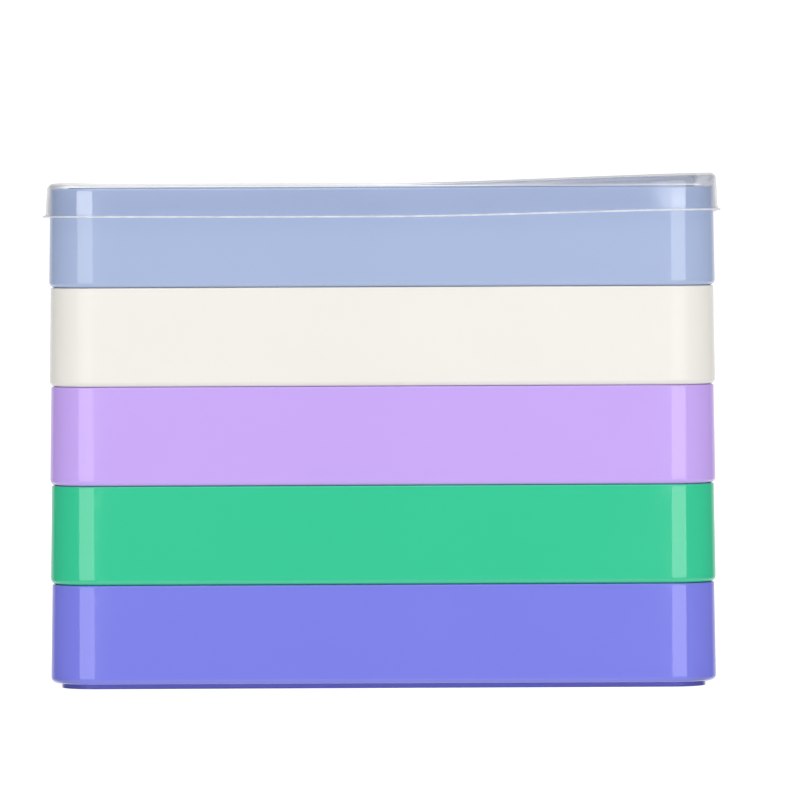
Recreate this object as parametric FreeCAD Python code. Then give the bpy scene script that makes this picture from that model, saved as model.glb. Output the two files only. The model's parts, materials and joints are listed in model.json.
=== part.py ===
import FreeCAD, Part
import math
import os

# A stack of five divided trays from one mould, under a thin clear cap. Sizes are in millimetres and degrees.
# The lowest foot stands on z = 0, x runs along the long side, y runs from front to back, and the origin is at
# the middle of the footprint.

# The trays, from the lowest to the highest
tray_colours = ("indigo", "green", "lilac", "ivory", "blue")
tray_length = 190.0  # where the tray is widest, just above its bottom edge
tray_depth = 120.0
corner_radius = 12.5
layer_pitch = 28.2  # from one resting band to the next
outer_draft = 0.9  # the outside leans in towards the rim
inner_draft = 0.5  # the inside opens towards the rim
rim_wall = 1.8
rim_bevel = 0.5
bottom_radius = 1.7
floor_thickness = 1.6

# The ring under each floor, which nests inside the rim of the tray below
foot_drop = 1.4
foot_width = 1.8
foot_play = 0.85

# The lengthwise partition, moulded into the tray
partition_wall = 1.4  # at its top
partition_radius = 0.5  # along its top edges
headroom = 0.3  # between what stands in a tray and the foot above it

# The loose cross dividers, and the pairs of ribs that hold their ends
slot_count = 5  # evenly spaced along each row
empty_end_slots = 1  # between each filled slot and the end of its row
divider_thickness = 1.2
divider_toe = 1.0  # bevel of the lower corners
divider_corner_radius = 2.0
divider_end_play = 0.3
slot_play = 0.15
slot_depth = 1.6
rib_thickness = 1.0
rib_shortfall = 1.0  # the ribs end this far below the top of a divider

# The clear lid, a thermoformed cap with a narrow flange
film = 0.5
lid_height = 9.3
lid_play = 0.4
lid_relief = 0.1  # the flat underside of its top reaches this far past the flat of the rim
lid_draft = 2.2
flange_reach = 0.9

# How many flat bands make up a rounded edge that runs round the plan
round_steps = 2

# Heights in a tray's own frame, whose zero is the underside of its foot
floor_top = foot_drop + floor_thickness
rim_height = foot_drop + layer_pitch
inner_top = rim_height - foot_drop - headroom

# The rounding along the edge of the lid's top goes round the rim's bevel
lid_radius = film + lid_play + rim_bevel - lid_relief

# Insets of the plan from the widest outline
rim_setback = (layer_pitch - bottom_radius) * math.tan(math.radians(outer_draft))
foot_inset = rim_setback + rim_wall + foot_play

up = FreeCAD.Vector(0, 0, 1)


def rounded_wire(corners):
    """A closed wire through (point, radius) corners, each turned by a tangent arc, or sharp at radius zero."""
    turns = []
    for index, (corner, radius) in enumerate(corners):
        back = (corners[index - 1][0] - corner).normalize()
        ahead = (corners[(index + 1) % len(corners)][0] - corner).normalize()
        half_angle = back.getAngle(ahead) / 2
        reach = radius / math.tan(half_angle)
        middle = (back + ahead).normalize() * (radius / math.sin(half_angle) - radius)
        turns.append((corner + back * reach, corner + middle, corner + ahead * reach, radius))
    edges = []
    for index, (start, middle, end, radius) in enumerate(turns):
        if radius:
            edges.append(Part.Arc(start, middle, end).toShape())
        edges.append(Part.makeLine(end, turns[(index + 1) % len(turns)][0]))
    return Part.Wire(edges)


def plan_wire(inset, height):
    """The tray's outline drawn in by an inset."""
    half_x = tray_length / 2 - inset
    half_y = tray_depth / 2 - inset
    corners = ((half_x, half_y), (-half_x, half_y), (-half_x, -half_y), (half_x, -half_y))
    return rounded_wire([(FreeCAD.Vector(x, y, height), corner_radius - inset) for x, y in corners])


def plan_solid(profile):
    """A solid whose side follows a profile of (inset, height) points all round the tray's outline."""
    return Part.makeLoft([plan_wire(inset, height) for inset, height in profile], True, True)


def rounding(inset, height, radius, upper):
    """Profile points of a rounded edge, from its lower end up, where inset and height are those of the sharp edge."""
    points = []
    for step in range(round_steps + 1):
        turn = math.radians(90) * step / round_steps
        if upper:
            points.append((inset + radius * (1 - math.cos(turn)), height - radius * (1 - math.sin(turn))))
        else:
            points.append((inset + radius * (1 - math.sin(turn)), height + radius * (1 - math.cos(turn))))
    return points


def cross_plate(outline, x, thickness):
    """A plate square to x and centred on it, from (y, z, radius) corners."""
    start = x - thickness / 2
    wire = rounded_wire([(FreeCAD.Vector(start, y, z), radius) for y, z, radius in outline])
    return Part.Face(wire).extrude(FreeCAD.Vector(thickness, 0, 0))


def inner_inset(height):
    """How far the wall's inner face lies inside the widest outline, at a height in the tray."""
    return rim_setback + rim_wall + (rim_height - height) * math.tan(math.radians(inner_draft))


def partition_half(height):
    """Half the thickness of the partition at a height in the tray."""
    return partition_wall / 2 + (inner_top - height) * math.tan(math.radians(inner_draft))


def shell():
    """The outer wall and floor, with nothing inside."""
    profile = rounding(0, foot_drop, bottom_radius, upper=False)
    profile += [(rim_setback, rim_height - rim_bevel), (rim_setback + rim_bevel, rim_height)]
    return plan_solid(profile).cut(hollow())


def hollow():
    """The space inside the walls, with round uprights, carried on past the rim."""
    above = rim_height + layer_pitch
    rectangles = []
    for height in (floor_top, above):
        half_x = tray_length / 2 - inner_inset(height)
        half_y = tray_depth / 2 - inner_inset(height)
        corners = [(half_x, half_y), (-half_x, half_y), (-half_x, -half_y), (half_x, -half_y)]
        rectangles.append(rounded_wire([(FreeCAD.Vector(x, y, height), 0) for x, y in corners]))
    block = Part.makeLoft(rectangles, True, True)
    uprights = [edge for edge in block.Edges if edge.BoundBox.ZLength > layer_pitch]
    return block.makeFillet(corner_radius - inner_inset(rim_height), uprights)


def foot_ring():
    """The ring that the tray stands on, let into the floor by half its thickness."""
    top = foot_drop + floor_thickness / 2
    inside = foot_inset + foot_width
    return plan_solid([(foot_inset, 0), (foot_inset, top)]).cut(plan_solid([(inside, 0), (inside, top)]))


def partition():
    """The lengthwise partition, with a rounded top, let into the floor and the end walls."""
    foot_half = partition_half(floor_top)
    sunk = floor_top - floor_thickness / 2
    side = [(foot_half, sunk, 0), (foot_half, floor_top, 0), (partition_half(inner_top), inner_top, partition_radius)]
    outline = side + [(-y, z, radius) for y, z, radius in reversed(side)]
    reach = tray_length / 2 - inner_inset(floor_top) + rim_wall / 2
    return cross_plate(outline, 0, 2 * reach)


def slot_positions():
    """Where the slots are along x, from left to right."""
    length = tray_length - 2 * inner_inset(floor_top)
    spacing = length / (slot_count + 1)
    return [-length / 2 + (index + 1) * spacing for index in range(slot_count)]


def slot_ribs():
    """The ribs of every slot, in pairs on both long walls and on both faces of the partition."""
    wall_face = tray_depth / 2 - inner_inset(floor_top)
    top = inner_top - rib_shortfall
    sunk = floor_top - floor_thickness / 2
    faces = ((wall_face, -1), (partition_half(floor_top), 1))
    offset = divider_thickness / 2 + slot_play + rib_thickness / 2
    ribs = []
    for x in slot_positions():
        for face, inwards in faces:
            root = face - inwards * rim_wall / 2
            tip = face + inwards * slot_depth
            for row in (-1, 1):
                outline = ((row * root, sunk, 0), (row * tip, sunk, 0), (row * tip, top, 0), (row * root, top, 0))
                ribs.append(cross_plate(outline, x - offset, rib_thickness))
                ribs.append(cross_plate(outline, x + offset, rib_thickness))
    return ribs


def tray():
    """One tray as it leaves the mould."""
    return shell().multiFuse([foot_ring(), partition()] + slot_ribs()).removeSplitter()


def divider():
    """A loose divider of the back row, standing on the floor about x = 0."""
    near_end = partition_half(floor_top) + divider_end_play
    far_end = tray_depth / 2 - inner_inset(floor_top) - divider_end_play
    outline = [
        (near_end, floor_top + divider_toe, 0),
        (near_end + divider_toe, floor_top, 0),
        (far_end - divider_toe, floor_top, 0),
        (far_end, floor_top + divider_toe, 0),
        (far_end, inner_top, divider_corner_radius),
        (near_end, inner_top, divider_corner_radius),
    ]
    return cross_plate(outline, 0, divider_thickness)


def lid():
    """The clear cap, with its zero at the rim that it rests on."""
    bottom = film - lid_height
    top_inset = rim_setback - lid_play
    bottom_inset = top_inset - lid_height * math.tan(math.radians(lid_draft))
    flange_inset = bottom_inset - film - flange_reach
    outside = [(bottom_inset - film, bottom)] + rounding(top_inset - film, film, lid_radius, upper=True)
    inside = [(bottom_inset, bottom)] + rounding(top_inset, 0, lid_radius - film, upper=True)
    flange = plan_solid([(flange_inset, bottom), (flange_inset, bottom + film)])
    return plan_solid(outside).fuse(flange).cut(plan_solid(inside)).removeSplitter()


def turned(shape):
    """A copy turned half a turn about the upright axis."""
    copy = shape.copy()
    copy.rotate(FreeCAD.Vector(0, 0, 0), up, 180)
    return copy


def placed(shape, x, z):
    """A copy moved along x and up."""
    copy = shape.copy()
    copy.translate(FreeCAD.Vector(x, 0, z))
    return copy


def build():
    """Every piece by name, where it lies in the closed stack."""
    pieces = {}
    one_tray = tray()
    rows = {"front": turned(divider()), "back": divider()}
    slots = {"left": slot_positions()[empty_end_slots], "right": slot_positions()[-1 - empty_end_slots]}
    for index, colour in enumerate(tray_colours):
        level = index * layer_pitch
        pieces[f"tray_{index + 1}_{colour}"] = placed(one_tray, 0, level)
        for row, plate in rows.items():
            for side, x in slots.items():
                pieces[f"divider_{index + 1}_{row}_{side}"] = placed(plate, x, level)
    pieces["clear_lid"] = placed(lid(), 0, foot_drop + len(tray_colours) * layer_pitch)
    return pieces


os.makedirs("parts", exist_ok=True)
for name, shape in build().items():
    shape.exportStep(f"parts/{name}.step")
    print(name, "valid" if shape.isValid() else "NOT VALID", round(shape.Volume), "mm3")
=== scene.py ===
import json
import math

import bmesh
import bpy
from mathutils import Euler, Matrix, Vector


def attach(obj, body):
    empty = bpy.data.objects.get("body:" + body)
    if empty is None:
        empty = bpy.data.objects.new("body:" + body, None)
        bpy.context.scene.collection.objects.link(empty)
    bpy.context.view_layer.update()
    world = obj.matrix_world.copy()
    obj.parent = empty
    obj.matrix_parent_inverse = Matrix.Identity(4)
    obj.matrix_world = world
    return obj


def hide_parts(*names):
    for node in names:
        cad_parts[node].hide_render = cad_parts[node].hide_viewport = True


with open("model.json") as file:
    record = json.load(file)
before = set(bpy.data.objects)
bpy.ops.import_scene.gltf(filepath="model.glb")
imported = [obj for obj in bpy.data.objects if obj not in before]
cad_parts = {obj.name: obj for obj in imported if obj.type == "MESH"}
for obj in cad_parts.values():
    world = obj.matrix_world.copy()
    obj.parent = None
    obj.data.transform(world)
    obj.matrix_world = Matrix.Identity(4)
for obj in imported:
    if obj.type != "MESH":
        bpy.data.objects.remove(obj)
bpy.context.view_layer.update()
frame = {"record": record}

# The looks of a stack of five divided trays under a thin clear lid. Sizes are in millimetres and degrees,
# and to_metres turns them into the metres of the scene. Lights and camera are placed in metres.

to_metres = 0.001

# The trays, as in the part's source apart from corners that are half a millimetre rounder
tray_length = 190
tray_depth = 120
corner_radius = 13.0
layer_pitch = 28.2
outer_draft = 0.9
inner_draft = 0.5
rim_wall = 1.8
bottom_radius = 1.7
floor_thickness = 1.6
foot_drop = 1.4
foot_width = 1.8
foot_play = 0.85
partition_wall = 1.4
partition_radius = 0.5
headroom = 0.3
slot_count = 5
empty_end_slots = 1
divider_thickness = 1.2
divider_toe = 1.0
divider_corner_radius = 2.0
divider_end_play = 0.3
slot_play = 0.15
slot_depth = 1.6
rib_thickness = 1.0
rib_shortfall = 1.0

# The lid, as in the part's source apart from a top edge that is half a millimetre rounder
film = 0.5
lid_height = 9.3
lid_play = 0.4
lid_radius = 1.8
lid_draft = 2.2
flange_reach = 0.9

# Small roundings that only the looks have
rim_outer_round = 0.5
rim_inner_round = 0.3
floor_fillet = 0.9
foot_round = 0.12
rib_tip_round = 0.25
rib_top_round = 0.2
divider_edge_round = 0.25
flange_fillet = 0.6
flange_tip_round = 0.2

# A hair's breadth between each rim and the tray that rests on it
resting_gap = 0.01

# How the lid's thin film is sprung out of its flat shape
lid_seat = 0.6  # the lid stands off the rim by this much
back_right_drop = 0.52  # from there down, at the back right corner
front_right_flange_rise = 1.6
front_right_top_rise = 2.9
left_top_rise = 0.4
flange_sag = 0.25  # of the flange, apart from its left end
long_wall_bulge = 0.35

# How finely the outline is divided: round each corner, and along the front and the sides
corner_steps = 16
front_steps = 24
side_steps = 16

# Heights in a tray's own frame, and insets from its widest outline
floor_top = foot_drop + floor_thickness
rim_height = foot_drop + layer_pitch
inner_top = rim_height - foot_drop - headroom
rim_setback = (layer_pitch - bottom_radius) * math.tan(math.radians(outer_draft))
foot_outside = rim_setback + rim_wall + foot_play
foot_inside = foot_outside + foot_width


def inner_inset(height):
    """How far the wall's inner face lies inside the widest outline."""
    return rim_setback + rim_wall + (rim_height - height) * math.tan(math.radians(inner_draft))


def partition_half(height):
    """Half the thickness of the lengthwise partition."""
    return partition_wall / 2 + (inner_top - height) * math.tan(math.radians(inner_draft))


def slot_positions():
    """Where the slots are along x, from left to right."""
    length = tray_length - 2 * inner_inset(floor_top)
    return [-length / 2 + (index + 1) * length / (slot_count + 1) for index in range(slot_count)]


# Mesh building

def arc(inset, height, radius, start, end, steps):
    """Profile points round a centre, where angle 0 points outwards and 90 points up."""
    points = []
    for step in range(steps + 1):
        angle = math.radians(start + (end - start) * step / steps)
        points.append((inset - radius * math.cos(angle), height + radius * math.sin(angle)))
    return points


def between(start, end, steps):
    """The points that divide a straight line, without its ends."""
    return [start.lerp(end, step / steps) for step in range(1, steps)]


def outline(inset, height):
    """The tray's outline drawn in by an inset, anticlockwise from the front end of the left side."""
    half_x = tray_length / 2 - inset
    half_y = tray_depth / 2 - inset
    radius = corner_radius - inset
    arcs = []
    for turn, (side_x, side_y) in enumerate(((-1, -1), (1, -1), (1, 1), (-1, 1))):
        points = []
        for step in range(corner_steps + 1):
            angle = math.radians(180 + 90 * (turn + step / corner_steps))
            x = side_x * (half_x - radius) + radius * math.cos(angle)
            y = side_y * (half_y - radius) + radius * math.sin(angle)
            points.append(Vector((x, y, height)))
        arcs.append(points)
    points = []
    for turn, steps in enumerate((front_steps, side_steps, front_steps, side_steps)):
        points += arcs[turn] + between(arcs[turn][-1], arcs[(turn + 1) % 4][0], steps)
    return points


def cap(mesh, ring):
    """Fills a ring made by outline with a grid of faces."""
    front_count = 2 * corner_steps + front_steps
    columns = []
    for index in range(front_count + 1):
        if index == 0:
            column = [ring[-step] for step in range(side_steps + 1)]
        elif index == front_count:
            column = [ring[front_count + step] for step in range(side_steps + 1)]
        else:
            front = ring[index]
            back = ring[2 * front_count + side_steps - index]
            middle = [mesh.verts.new(point) for point in between(front.co, back.co, side_steps)]
            column = [front] + middle + [back]
        columns.append(column)
    for left, right in zip(columns, columns[1:]):
        for step in range(side_steps):
            mesh.faces.new((left[step], right[step], right[step + 1], left[step + 1]))


def turned_solid(profile):
    """A closed mesh whose section is a profile of (inset, height) points, capped at both ends."""
    mesh = bmesh.new()
    rings = [[mesh.verts.new(point) for point in outline(*place)] for place in profile]
    for lower, upper in zip(rings, rings[1:]):
        for index in range(len(lower)):
            following = (index + 1) % len(lower)
            mesh.faces.new((lower[index], lower[following], upper[following], upper[index]))
    cap(mesh, rings[0])
    cap(mesh, rings[-1])
    bmesh.ops.recalc_face_normals(mesh, faces=mesh.faces)
    return mesh


def prism(mesh, outline_points, along, start, end):
    """Adds a closed prism along an axis, from points in the other two, and gives its faces, ends first."""
    rings = []
    for place in (start, end):
        points = []
        for first, second in outline_points:
            point = [first, second]
            point.insert(along, place)
            points.append(mesh.verts.new(point))
        rings.append(points)
    near, far = rings
    faces = [mesh.faces.new(near), mesh.faces.new(far)]
    for index in range(len(near)):
        following = (index + 1) % len(near)
        faces.append(mesh.faces.new((near[index], near[following], far[following], far[index])))
    bmesh.ops.recalc_face_normals(mesh, faces=faces)
    return faces


def turn_points(first, second, radius, start, end, steps=5):
    """Points of an arc in the plane of two axes."""
    points = []
    for step in range(steps + 1):
        angle = math.radians(start + (end - start) * step / steps)
        points.append((first + radius * math.cos(angle), second + radius * math.sin(angle)))
    return points


def bevel(mesh, edges, offset, segments):
    """Rounds a few edges."""
    bmesh.ops.bevel(
        mesh,
        geom=list(edges),
        offset=offset,
        segments=segments,
        profile=0.5,
        affect="EDGES",
        clamp_overlap=True,
    )


def to_object(mesh, name):
    """An object in metres from a mesh in millimetres."""
    data = bpy.data.meshes.new(name)
    bmesh.ops.scale(mesh, vec=(to_metres,) * 3, verts=mesh.verts)
    mesh.to_mesh(data)
    mesh.free()
    made = bpy.data.objects.new(name, data)
    bpy.context.scene.collection.objects.link(made)
    return made


def smooth(piece, angle=32):
    """Smooth shading with sharp creases, and normals that keep flat faces flat."""
    piece.data.shade_smooth()
    piece.data.set_sharp_from_angle(angle=math.radians(angle))
    even = piece.modifiers.new("even_normals", "WEIGHTED_NORMAL")
    even.keep_sharp = True
    even.weight = 80


# The pieces

def tray_shell():
    """The tray without its partition and ribs."""
    rim_top = rim_height - resting_gap
    outer_turn = rim_setback + rim_outer_round
    inner_turn = rim_setback + rim_wall - rim_inner_round
    foot_top = foot_drop - foot_round
    fillet_inset = inner_inset(floor_top) + floor_fillet
    profile = arc(foot_inside + foot_round, foot_top, foot_round, 90, 0, steps=3)
    profile += arc(foot_inside - foot_round, foot_round, foot_round, 180, 270, steps=3)
    profile += arc(foot_outside + foot_round, foot_round, foot_round, 270, 360, steps=3)
    profile += arc(foot_outside - foot_round, foot_top, foot_round, 180, 90, steps=3)
    profile += arc(bottom_radius, foot_drop + bottom_radius, bottom_radius, 270, 360, steps=8)
    profile += arc(outer_turn, rim_top - rim_outer_round, rim_outer_round, 0, 90, steps=5)
    profile += arc(inner_turn, rim_top - rim_inner_round, rim_inner_round, 90, 180, steps=4)
    profile += arc(fillet_inset, floor_top + floor_fillet, floor_fillet, 0, -90, steps=6)
    return turned_solid(profile)


def partition_mesh():
    """The lengthwise partition, let into the floor and the end walls."""
    foot_half = partition_half(floor_top)
    top_half = partition_half(inner_top)
    sunk = floor_top - floor_thickness / 2
    turn_height = inner_top - partition_radius
    points = [(foot_half, sunk), (foot_half, floor_top)]
    points += turn_points(top_half - partition_radius, turn_height, partition_radius, 0, 90)
    points += turn_points(partition_radius - top_half, turn_height, partition_radius, 90, 180)
    points += [(-foot_half, floor_top), (-foot_half, sunk)]
    reach = tray_length / 2 - inner_inset(floor_top) + rim_wall / 2
    mesh = bmesh.new()
    prism(mesh, points, 0, -reach, reach)
    return mesh


def add_rib(mesh, x, root, tip):
    """Adds one slot rib that stands out from its root to its tip in y."""
    half = rib_thickness / 2
    radius = rib_tip_round
    inwards = 1 if tip > root else -1
    turn_y = tip - inwards * radius
    points = [(x - half, root), (x + half, root)]
    points += turn_points(x + half - radius, turn_y, radius, 0, 90 * inwards, steps=3)
    points += turn_points(x - half + radius, turn_y, radius, 90 * inwards, 180 * inwards, steps=3)
    faces = prism(mesh, points, 2, floor_top - floor_thickness / 2, inner_top - rib_shortfall)
    bevel(mesh, faces[1].edges, rib_top_round, 2)


def ribs_mesh():
    """The ribs of every slot of a tray."""
    mesh = bmesh.new()
    wall_face = tray_depth / 2 - inner_inset(floor_top)
    middle_face = partition_half(floor_top)
    wall_root = wall_face + rim_wall / 2
    middle_root = middle_face - partition_wall / 4
    offset = divider_thickness / 2 + slot_play + rib_thickness / 2
    for x in slot_positions():
        for row in (-1, 1):
            for side in (-1, 1):
                place = x + side * offset
                add_rib(mesh, place, row * wall_root, row * (wall_face - slot_depth))
                add_rib(mesh, place, row * middle_root, row * (middle_face + slot_depth))
    return mesh


def joined(base, others):
    """One closed mesh from pieces that reach into one another."""
    for other in others:
        union = base.modifiers.new("union", "BOOLEAN")
        union.operation = "UNION"
        union.solver = "EXACT"
        union.object = other
    bpy.context.view_layer.update()
    evaluated = base.evaluated_get(bpy.context.evaluated_depsgraph_get())
    whole = bpy.data.meshes.new_from_object(evaluated)
    for piece in [base] + others:
        bpy.data.objects.remove(piece)
    return whole


def tray_mesh():
    """One tray as it leaves the mould, standing on z = 0."""
    shell = to_object(tray_shell(), "shell_blank")
    inside = [to_object(partition_mesh(), "partition_blank"), to_object(ribs_mesh(), "ribs_blank")]
    return joined(shell, inside)


def divider_mesh():
    """A divider of the back row, standing on the floor of a tray about x = 0."""
    near_end = partition_half(floor_top) + divider_end_play
    far_end = tray_depth / 2 - inner_inset(floor_top) - divider_end_play
    radius = divider_corner_radius
    points = [(near_end, floor_top + divider_toe), (near_end + divider_toe, floor_top)]
    points += [(far_end - divider_toe, floor_top), (far_end, floor_top + divider_toe)]
    points += turn_points(far_end - radius, inner_top - radius, radius, 0, 90)
    points += turn_points(near_end + radius, inner_top - radius, radius, 90, 180)
    mesh = bmesh.new()
    faces = prism(mesh, points, 0, -divider_thickness / 2, divider_thickness / 2)
    bevel(mesh, list(faces[0].edges) + list(faces[1].edges), divider_edge_round, 3)
    return mesh


def ramp(value, start, end):
    """0 before start, 1 after end, and smooth between them."""
    share = min(max((value - start) / (end - start), 0), 1)
    return share * share * (3 - 2 * share)


def lid_flex(point):
    """How far a point of the sprung lid has moved from its flat seat."""
    upper = min(max((point.z + lid_height - film) / lid_height, 0), 1)
    back = ramp(point.y, -50, 60)
    seat = lid_seat - back_right_drop * back * ramp(point.x, -30, 40)
    flange_rise = seat + front_right_flange_rise * (1 - back) * ramp(point.x, 0, 96)
    flange_rise -= flange_sag * ramp(point.x, -95, -20)
    top_rise = seat + front_right_top_rise * (1 - back) * ramp(point.x, -10, 110)
    top_rise += left_top_rise * ramp(point.x, -82, -94)
    bulge = long_wall_bulge * (1 - ramp(point.x, 52, 84)) * ramp(abs(point.y), 40, 59)
    return Vector((0, math.copysign(bulge, point.y), flange_rise + (top_rise - flange_rise) * upper))


def lid_mesh():
    """The clear cap, with z = 0 at the rim that it rests on."""
    top_inset = rim_setback - lid_play
    spread = math.tan(math.radians(lid_draft))
    bottom = film - lid_height
    bottom_inset = top_inset - lid_height * spread
    outer_top = top_inset - film
    outer_bottom = bottom_inset - film
    tip = outer_bottom - flange_reach
    flange_top = bottom + film
    flange_turn = outer_bottom - flange_fillet
    tip_turn = tip + flange_tip_round
    profile = arc(outer_top + lid_radius, film - lid_radius, lid_radius, 90, 0, steps=8)
    profile += arc(flange_turn, flange_top + flange_fillet, flange_fillet, 180, 270, steps=5)
    profile += arc(tip_turn, flange_top - flange_tip_round, flange_tip_round, 90, 0, steps=3)
    profile += arc(tip_turn, bottom + flange_tip_round, flange_tip_round, 0, -90, steps=3)
    profile += arc(bottom_inset - film, bottom + film, film, 270, 180, steps=4)
    profile += arc(top_inset + lid_radius - film, film - lid_radius, lid_radius - film, 0, 90, steps=8)
    mesh = turned_solid(profile)
    edge_turn = corner_radius - tip - film / 2
    straight_x = tray_length / 2 - corner_radius
    straight_y = tray_depth / 2 - corner_radius
    for face in mesh.faces:
        middle = face.calc_center_median()
        reach = math.hypot(max(abs(middle.x) - straight_x, 0), max(abs(middle.y) - straight_y, 0))
        face.material_index = int(reach > edge_turn)
    for vertex in mesh.verts:
        vertex.co += lid_flex(vertex.co)
    return mesh


# Materials

def node(tree, kind, **inputs):
    """Adds a shader node, with values or links for its named sockets."""
    made = tree.nodes.new(kind)
    for name, value in inputs.items():
        socket = made.inputs[name.replace("_", " ")]
        if isinstance(value, bpy.types.NodeSocket):
            tree.links.new(value, socket)
        else:
            socket.default_value = value
    return made


def maths(tree, operation, *values):
    """A calculation with numbers or sockets."""
    made = tree.nodes.new("ShaderNodeMath")
    made.operation = operation
    for socket, value in zip(made.inputs, values):
        if isinstance(value, bpy.types.NodeSocket):
            tree.links.new(value, socket)
        else:
            socket.default_value = value
    return made.outputs["Value"]


def noise(tree, place, scale, detail):
    """A noise pattern in object space, in repeats per metre."""
    return node(tree, "ShaderNodeTexNoise", Vector=place, Scale=scale, Detail=detail).outputs["Fac"]


def graded(tree, value, start, end, low, high, shape="SMOOTHSTEP"):
    """Goes from low to high while a value goes from start to end, and stays there beyond them."""
    made = node(
        tree, "ShaderNodeMapRange", Value=value, From_Min=start, From_Max=end, To_Min=low, To_Max=high
    )
    made.interpolation_type = shape
    return made.outputs["Result"]


def in_range(tree, pattern, low, high):
    """A noise pattern, which stays mostly between 0.3 and 0.7, stretched over a range."""
    return graded(tree, pattern, 0.3, 0.7, low, high, "LINEAR")


def blended(tree, share, first, second):
    """A mix of two shaders, which is all the second where the share is 1."""
    made = node(tree, "ShaderNodeMixShader", Fac=share)
    tree.links.new(first, made.inputs[1])
    tree.links.new(second, made.inputs[2])
    return made.outputs["Shader"]


def blank_material(name):
    """A material with only its output and the object's own coordinates."""
    material = bpy.data.materials.new(name)
    material.use_nodes = True
    tree = material.node_tree
    tree.nodes.clear()
    output = tree.nodes.new("ShaderNodeOutputMaterial")
    place = tree.nodes.new("ShaderNodeTexCoord").outputs["Object"]
    return material, tree, output, place


def uneven_colour(tree, pattern, colour):
    """A colour that goes from slightly darker to slightly lighter over a pattern."""
    darker = [value * 0.985 for value in colour] + [1]
    lighter = [min(value * 1.01, 1) for value in colour] + [1]
    made = tree.nodes.new("ShaderNodeMix")
    made.data_type = "RGBA"
    colour_sockets = [socket for socket in made.inputs if socket.type == "RGBA"]
    for socket, value in zip(colour_sockets, (darker, lighter)):
        socket.default_value = value
    tree.links.new(pattern, made.inputs["Factor"])
    return next(socket for socket in made.outputs if socket.type == "RGBA")


def moulded_plastic(name, colour, gloss_level):
    """Glossy injection-moulded plastic, with a faint orange peel and slightly uneven colour and gloss."""
    material, tree, output, place = blank_material(name)
    tint = uneven_colour(tree, in_range(tree, noise(tree, place, 22, 3), 0, 1), colour)
    gloss = in_range(tree, noise(tree, place, 60, 4), 0.05, 0.09)
    peel = node(tree, "ShaderNodeBump", Height=noise(tree, place, 320, 2), Strength=0.05, Distance=0.0004)
    bow = node(tree, "ShaderNodeBump", Height=noise(tree, place, 25, 1), Strength=0.12, Distance=0.002)
    tree.links.new(peel.outputs["Normal"], bow.inputs["Normal"])
    shader = node(
        tree, "ShaderNodeBsdfPrincipled", Base_Color=tint, Roughness=gloss, Normal=bow.outputs["Normal"]
    )
    shader.inputs["IOR"].default_value = 1.5
    shader.inputs["Specular IOR Level"].default_value = gloss_level
    tree.links.new(shader.outputs["BSDF"], output.inputs["Surface"])
    return material


def film_mirror_share(tree, place, slant):
    """How much the film mirrors: more at a slant, in faint streaks, and little of the lamps behind it."""
    mirror = maths(tree, "MULTIPLY_ADD", maths(tree, "POWER", slant, 3.5), 0.95, 0.05)
    stretched = node(tree, "ShaderNodeMapping", Vector=place, Scale=(0.15, 1, 1))
    streaks = in_range(tree, noise(tree, stretched.outputs["Vector"], 130, 3), 0.3, 0.75)
    for_lamps = tree.nodes.new("ShaderNodeLightPath").outputs["Is Shadow Ray"]
    seen_share = maths(tree, "MULTIPLY", mirror, streaks)
    return maths(tree, "MULTIPLY", seen_share, maths(tree, "MULTIPLY_ADD", for_lamps, -0.7, 1))


def clear_film(name):
    """Thermoformed clear film, a little wavy and milky at a slant. Film this thin hardly bends light."""
    material, tree, output, place = blank_material(name)
    haze = in_range(tree, noise(tree, place, 90, 4), 0.03, 0.08)
    waves = node(tree, "ShaderNodeBump", Height=noise(tree, place, 45, 2), Strength=0.06, Distance=0.001)
    normal = waves.outputs["Normal"]
    gloss = node(tree, "ShaderNodeBsdfGlossy", Color=(1, 1, 1, 1), Roughness=haze, Normal=normal)
    open_way = node(tree, "ShaderNodeBsdfTransparent", Color=(0.997, 0.997, 0.998, 1))
    milk = node(tree, "ShaderNodeBsdfDiffuse", Color=(0.5, 0.51, 0.53, 1))
    slant = node(tree, "ShaderNodeLayerWeight", Blend=0.5, Normal=normal).outputs["Facing"]
    mirrored = film_mirror_share(tree, place, slant)
    clear = blended(tree, mirrored, open_way.outputs["BSDF"], gloss.outputs["BSDF"])
    milk_share = maths(tree, "MULTIPLY", maths(tree, "POWER", slant, 2.5), 0.18)
    milky = blended(tree, milk_share, clear, milk.outputs["BSDF"])
    tree.links.new(milky, output.inputs["Surface"])
    return material


def trimmed_film(name):
    """The die-cut edge of the film, which is rougher and whiter than its faces."""
    material, tree, output, place = blank_material(name)
    frost = in_range(tree, noise(tree, place, 400, 3), 0.3, 0.5)
    shader = node(tree, "ShaderNodeBsdfPrincipled", Base_Color=(0.9, 0.91, 0.93, 1), Roughness=frost)
    shader.inputs["IOR"].default_value = 1.5
    open_way = node(tree, "ShaderNodeBsdfTransparent", Color=(0.95, 0.95, 0.96, 1))
    cover = in_range(tree, noise(tree, place, 250, 2), 0.5, 0.7)
    edge = blended(tree, cover, open_way.outputs["BSDF"], shader.outputs["BSDF"])
    tree.links.new(edge, output.inputs["Surface"])
    return material


# Linear base colours of the five mouldings
colours = {
    "indigo": (0.212, 0.224, 0.8),
    "green": (0.042, 0.59, 0.314),
    "lilac": (0.582, 0.398, 0.91),
    "ivory": (0.862, 0.837, 0.783),
    "blue": (0.405, 0.493, 0.718),
}

# The specular level of the mouldings, of which ivory and lilac shine less than the others
usual_gloss = 0.5
gloss_levels = {"ivory": 0.15, "lilac": 0.42}


def dress(piece, cad_node, material):
    """Puts a piece on the body of the CAD node that it stands for."""
    body = next(name for name, nodes in frame["record"]["behaviour"]["bodies"].items() if cad_node in nodes)
    piece.data.materials.append(material)
    smooth(piece)
    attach(piece, body)
    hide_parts(cad_node)


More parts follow.
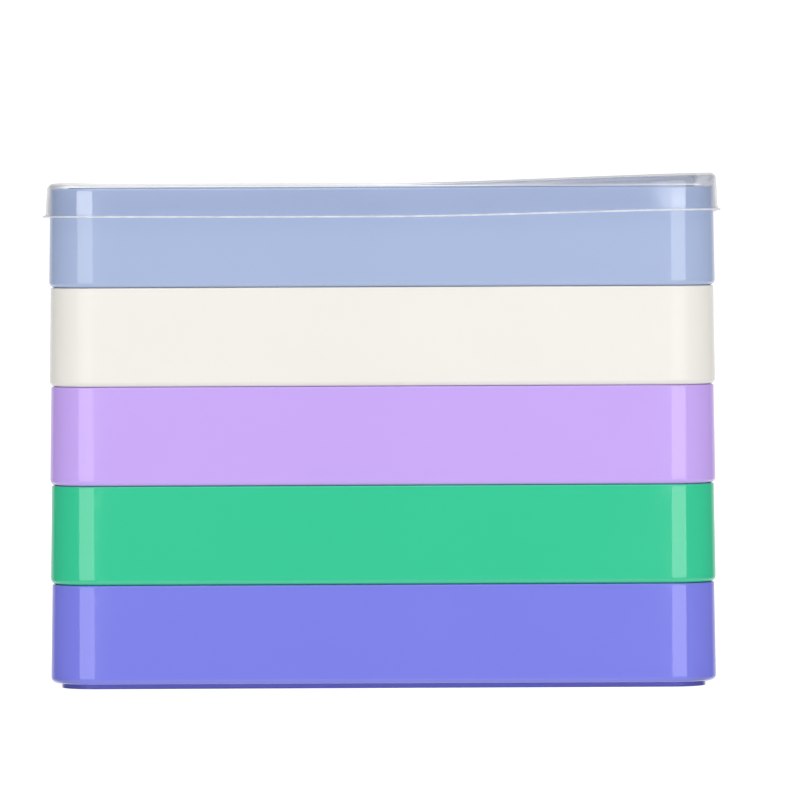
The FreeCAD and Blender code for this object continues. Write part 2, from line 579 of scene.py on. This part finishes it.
def placed_copy(data, name, offset, turn=0):
    """An object with its own copy of a mesh, moved and turned about the upright axis."""
    piece = bpy.data.objects.new(name, data.copy())
    bpy.context.scene.collection.objects.link(piece)
    piece.data.transform(Euler((0, 0, math.radians(turn))).to_matrix().to_4x4())
    piece.location = Vector(offset) * to_metres
    return piece


def make_trays_and_dividers():
    """The five trays, each with its four loose dividers."""
    tray_data = tray_mesh()
    plate = to_object(divider_mesh(), "plate_blank")
    slots = {"left": slot_positions()[empty_end_slots], "right": slot_positions()[-1 - empty_end_slots]}
    for index, (colour_name, colour) in enumerate(colours.items()):
        gloss_level = gloss_levels.get(colour_name, usual_gloss)
        material = moulded_plastic(f"moulded_{colour_name}", colour, gloss_level)
        level = index * layer_pitch
        number = index + 1
        tray = placed_copy(tray_data, f"tray_{number}_{colour_name}_moulding", (0, 0, level))
        dress(tray, f"tray_{number}_{colour_name}", material)
        for row, turn in (("front", 180), ("back", 0)):
            for side, x in slots.items():
                cad_node = f"divider_{number}_{row}_{side}"
                divider = placed_copy(plate.data, f"{cad_node}_plate", (x, 0, level), turn)
                dress(divider, cad_node, material)
    bpy.data.objects.remove(plate)


def make_lid():
    """The lid, sprung up a little at its right end."""
    lid = to_object(lid_mesh(), "clear_lid_film")
    lid.location.z = (foot_drop + len(colours) * layer_pitch) * to_metres
    dress(lid, "clear_lid", clear_film("clear_film"))
    lid.data.materials.append(trimmed_film("trimmed_film_edge"))


# The studio

# How bright the room is for the object, where 1 is white
backdrop_level = 0.85
backdrop_top_share = 0.1  # the share of it that is left higher up
left_level = 0.07
right_level = 0.12
canopy_level = 1.7
canopy_direction = (0, -0.45, 0.89)
ground_level = 1.3
white_for_camera = 1.1

# The floor's paint and glow, as they light the object and as the camera sees them
floor_paint, floor_glow = 0.28, 0.58
seen_floor_paint, seen_floor_glow = 0.35, 0.93

# The softboxes: side, degrees round from straight ahead, half the width in degrees, and radiance
softboxes = (
    ("left_softbox", -1, 22.8, 19.6, 2.8),
    ("right_softbox", 1, 21.6, 18.4, 3.35),
)

# Fills that nothing mirrors: place in metres, and power in watts
fills = (
    ("left_fill", (-1.1, 0.75, 0.4), 2.6),
    ("right_fill", (1.1, 0.65, 0.4), 3.4),
    ("front_fill", (0, -1.0, 1.3), 2.3),
    ("back_fill", (0, 1.3, 0.5), 8),
)


def soft_light(name, place, aim, size, power):
    """A rectangular softbox that faces a point."""
    lamp = bpy.data.lights.new(name, "AREA")
    lamp.shape = "RECTANGLE"
    lamp.size, lamp.size_y = size
    lamp.energy = power
    holder = bpy.data.objects.new(name, lamp)
    holder.location = place
    holder.rotation_euler = (Vector(aim) - Vector(place)).to_track_quat("-Z", "Y").to_euler()
    bpy.context.scene.collection.objects.link(holder)
    return holder


def make_world():
    """A dim room with a bright backdrop, canopy and ground. The camera itself sees it plain white."""
    world = bpy.data.worlds.new("pale_room")
    bpy.context.scene.world = world
    world.use_nodes = True
    tree = world.node_tree
    tree.nodes.clear()
    output = tree.nodes.new("ShaderNodeOutputWorld")
    direction = tree.nodes.new("ShaderNodeTexCoord").outputs["Generated"]
    apart = node(tree, "ShaderNodeSeparateXYZ", Vector=direction)
    across, behind, up = (apart.outputs[axis] for axis in "XYZ")
    backdrop = graded(tree, behind, 0.6, 0.9, 0, backdrop_level)
    low = graded(tree, up, 0.08, 0.3, 1, backdrop_top_share)
    side = graded(tree, across, -1, 1, left_level, right_level, "LINEAR")
    towards_canopy = tree.nodes.new("ShaderNodeVectorMath")
    towards_canopy.operation = "DOT_PRODUCT"
    towards_canopy.inputs[1].default_value = canopy_direction
    tree.links.new(direction, towards_canopy.inputs[0])
    overhead = graded(tree, towards_canopy.outputs["Value"], 0.62, 0.99, 0, canopy_level)
    below = graded(tree, up, -0.15, -0.6, 0, ground_level)
    level = maths(tree, "MULTIPLY", backdrop, low)
    for part in (side, overhead, below):
        level = maths(tree, "ADD", level, part)
    seen = tree.nodes.new("ShaderNodeLightPath").outputs["Is Camera Ray"]
    for_room = node(tree, "ShaderNodeBackground", Color=(1, 1, 1, 1), Strength=level)
    for_camera = node(tree, "ShaderNodeBackground", Color=(1, 1, 1, 1), Strength=white_for_camera)
    room = blended(tree, seen, for_room.outputs["Background"], for_camera.outputs["Background"])
    tree.links.new(room, output.inputs["Surface"])


def painted_light(tree, paint_level, glow_level):
    """A matt surface that also glows a little."""
    paint = node(tree, "ShaderNodeBsdfDiffuse", Color=(paint_level, paint_level, paint_level, 1))
    glow = node(tree, "ShaderNodeEmission", Color=(1, 1, 1, 1), Strength=glow_level)
    both = tree.nodes.new("ShaderNodeAddShader")
    tree.links.new(paint.outputs["BSDF"], both.inputs[0])
    tree.links.new(glow.outputs["Emission"], both.inputs[1])
    return both.outputs["Shader"]


def glow_outside_shadow(tree, place):
    """The floor's glow, which fades out where the stack shades it."""
    apart = node(tree, "ShaderNodeSeparateXYZ", Vector=place)
    reaches = []
    for axis, length in (("X", tray_length), ("Y", tray_depth)):
        distance = maths(tree, "ABSOLUTE", apart.outputs[axis])
        reaches.append(maths(tree, "SUBTRACT", distance, length / 2 * to_metres))
    reach = maths(tree, "MAXIMUM", *reaches)
    return graded(tree, reach, -0.003, 0.001, 0, floor_glow)


def make_floor():
    """A plain white floor, twelve metres square. The camera sees it lighter than the object does."""
    half = 6
    corners = [(-half, -half, 0), (half, -half, 0), (half, half, 0), (-half, half, 0)]
    data = bpy.data.meshes.new("floor")
    data.from_pydata(corners, [], [(0, 1, 2, 3)])
    floor = bpy.data.objects.new("floor", data)
    bpy.context.scene.collection.objects.link(floor)
    material, tree, output, place = blank_material("floor_white")
    seen = tree.nodes.new("ShaderNodeLightPath").outputs["Is Camera Ray"]
    for_object = painted_light(tree, floor_paint, glow_outside_shadow(tree, place))
    for_camera = painted_light(tree, seen_floor_paint, seen_floor_glow)
    tree.links.new(blended(tree, seen, for_object, for_camera), output.inputs["Surface"])
    data.materials.append(material)
    floor.visible_glossy = False


def make_lights():
    """Two wide softboxes in front, which the corners mirror as upright strips, and the fills."""
    distance = 1.0
    half_rise = 10
    tilt = -1
    front_corner = (0.083, -0.06, 0.12)
    stack_middle = (0, 0, 0.07)
    fill_size = (0.8, 0.8)
    height = 2 * distance * math.tan(math.radians(half_rise))
    for name, side, turn, half_turn, radiance in softboxes:
        width = 2 * distance * math.tan(math.radians(half_turn))
        aim = Vector((side * front_corner[0], front_corner[1], front_corner[2]))
        round_by = math.radians(turn)
        away = Vector((side * math.sin(round_by), -math.cos(round_by), math.tan(math.radians(tilt))))
        away.normalize()
        power = radiance * math.pi * width * height
        soft_light(name, aim + distance * away, aim, (width, height), power)
    for name, place, power in fills:
        fill = soft_light(name, place, stack_middle, fill_size, power)
        fill.visible_glossy = False


def make_camera():
    """The camera of the photograph: just above the lid, far away, with a long lens, and hardly rolled."""
    data = bpy.data.cameras.new("camera")
    data.sensor_width = 36
    data.lens = 371
    data.clip_start = 0.05
    data.clip_end = 50
    holder = bpy.data.objects.new("camera", data)
    pitch = 1.6623
    yaw = -0.1214
    roll = 0.255
    holder.location = (0, -2.4, 0.15)
    look = Euler((math.radians(90 - pitch), 0, math.radians(yaw))).to_matrix()
    spin = Euler((0, 0, math.radians(-roll))).to_matrix()
    holder.rotation_euler = (look @ spin).to_euler()
    bpy.context.scene.collection.objects.link(holder)
    bpy.context.scene.camera = holder


make_trays_and_dividers()
make_lid()
make_world()
make_floor()
make_lights()
make_camera()
bpy.context.scene.view_settings.view_transform = "Standard"
